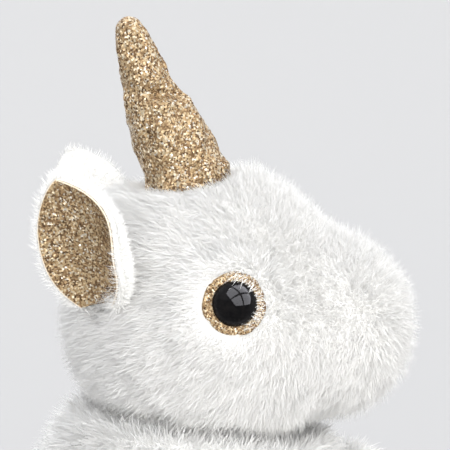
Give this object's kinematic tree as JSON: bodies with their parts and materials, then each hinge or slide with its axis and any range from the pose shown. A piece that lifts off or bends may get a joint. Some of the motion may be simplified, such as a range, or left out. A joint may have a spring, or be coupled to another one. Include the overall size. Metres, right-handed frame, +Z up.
{
  "type": "plush unicorn",
  "caption": "Seated white plush unicorn with glossy black eyes and a horn, ear linings, eye rings and hooves of gold glitter fabric; head, legs, ears, horn and tail flex at their seams.",
  "frame": {"origin": "on the floor under the seat, midway across the width and midway between the fronts of the foremost hooves and the back of the tail", "axes": "+Z up; the toy faces -Y; its left side is +X; the left and right halves mirror across X = 0"},
  "size_m": [0.129, 0.1275, 0.1713],
  "materials": {
    "white_plush": "soft cut pile about 6 mm long",
    "glitter_fabric": "gold glitter flakes on cloth",
    "eye_plastic": "high gloss",
    "washer_plastic": "moulded",
    "fibre_filling": "lofty fibre",
    "pouch_cloth": "plain weave",
    "pellet_plastic": "small pellets"
  },
  "bodies": {
    "body": {"body_skin": "white_plush", "seat_panel": "white_plush", "body_stuffing": "fibre_filling", "bean_pouch": "pouch_cloth", "bean_pellets": "pellet_plastic"},
    "neck": {"neck_stuffing": "fibre_filling"},
    "head": {"head_skin": "white_plush", "head_stuffing": "fibre_filling", "eye_left": "eye_plastic", "eye_right": "eye_plastic", "eye_ring_left": "glitter_fabric", "eye_ring_right": "glitter_fabric", "eye_washer_left": "washer_plastic", "eye_washer_right": "washer_plastic"},
    "horn": {"horn_cone": "glitter_fabric", "horn_stuffing": "fibre_filling"},
    "ear_left": {"ear_left_outer": "white_plush", "ear_left_lining": "glitter_fabric"},
    "ear_right": {"ear_right_outer": "white_plush", "ear_right_lining": "glitter_fabric"},
    "foreleg_left": {"foreleg_left_skin": "white_plush", "foreleg_left_stuffing": "fibre_filling", "foreleg_left_hoof": "glitter_fabric"},
    "foreleg_right": {"foreleg_right_skin": "white_plush", "foreleg_right_stuffing": "fibre_filling", "foreleg_right_hoof": "glitter_fabric"},
    "hindleg_left": {"hindleg_left_skin": "white_plush", "hindleg_left_stuffing": "fibre_filling", "hindleg_left_hoof": "glitter_fabric"},
    "hindleg_right": {"hindleg_right_skin": "white_plush", "hindleg_right_stuffing": "fibre_filling", "hindleg_right_hoof": "glitter_fabric"},
    "tail": {"tail_skin": "white_plush", "tail_stuffing": "fibre_filling"}
  },
  "joints": [
    {"name": "neck_turn", "type": "hinge", "parent": "body", "child": "neck", "pos_m": [0, -0.002, 0.1045], "axis": [0, 0, 1], "range_deg": [-30, 30], "stiffness_Nm_per_rad": 0.08},
    {"name": "neck_nod", "type": "hinge", "parent": "neck", "child": "head", "pos_m": [0, -0.002, 0.1045], "axis": [1, 0, 0], "range_deg": [-14, 8], "stiffness_Nm_per_rad": 0.2},
    {"name": "horn_bend", "type": "hinge", "parent": "head", "child": "horn", "pos_m": [0, 0.0035, 0.1345], "axis": [1, 0, 0], "range_deg": [-12, 12], "stiffness_Nm_per_rad": 0.05},
    {"name": "ear_fold_left", "type": "hinge", "parent": "head", "child": "ear_left", "pos_m": [0.0188, 0.0244, 0.1085], "axis": [-0.4225, 0.8913, -0.1647], "range_deg": [-3, 18], "stiffness_Nm_per_rad": 0.01},
    {"name": "ear_fold_right", "type": "hinge", "parent": "head", "child": "ear_right", "pos_m": [-0.0188, 0.0244, 0.1085], "axis": [-0.4225, -0.8913, 0.1647], "range_deg": [-3, 18], "stiffness_Nm_per_rad": 0.01},
    {"name": "shoulder_left", "type": "hinge", "parent": "body", "child": "foreleg_left", "pos_m": [0.0223, -0.0335, 0.058], "axis": [-1, 0, 0], "range_deg": [-3, 60], "stiffness_Nm_per_rad": 0.04},
    {"name": "shoulder_right", "type": "hinge", "parent": "body", "child": "foreleg_right", "pos_m": [-0.0223, -0.0335, 0.058], "axis": [-1, 0, 0], "range_deg": [-3, 60], "stiffness_Nm_per_rad": 0.04},
    {"name": "hip_left", "type": "hinge", "parent": "body", "child": "hindleg_left", "pos_m": [0.0454, -0.004, 0.0152], "axis": [-1, 0, 0], "range_deg": [0, 35], "stiffness_Nm_per_rad": 0.1},
    {"name": "hip_right", "type": "hinge", "parent": "body", "child": "hindleg_right", "pos_m": [-0.0454, -0.004, 0.0152], "axis": [-1, 0, 0], "range_deg": [0, 35], "stiffness_Nm_per_rad": 0.1},
    {"name": "tail_wag", "type": "hinge", "parent": "body", "child": "tail", "pos_m": [0, 0.051, 0.027], "axis": [0, 1, 0], "range_deg": [-30, 30], "stiffness_Nm_per_rad": 0.02}
  ]
}
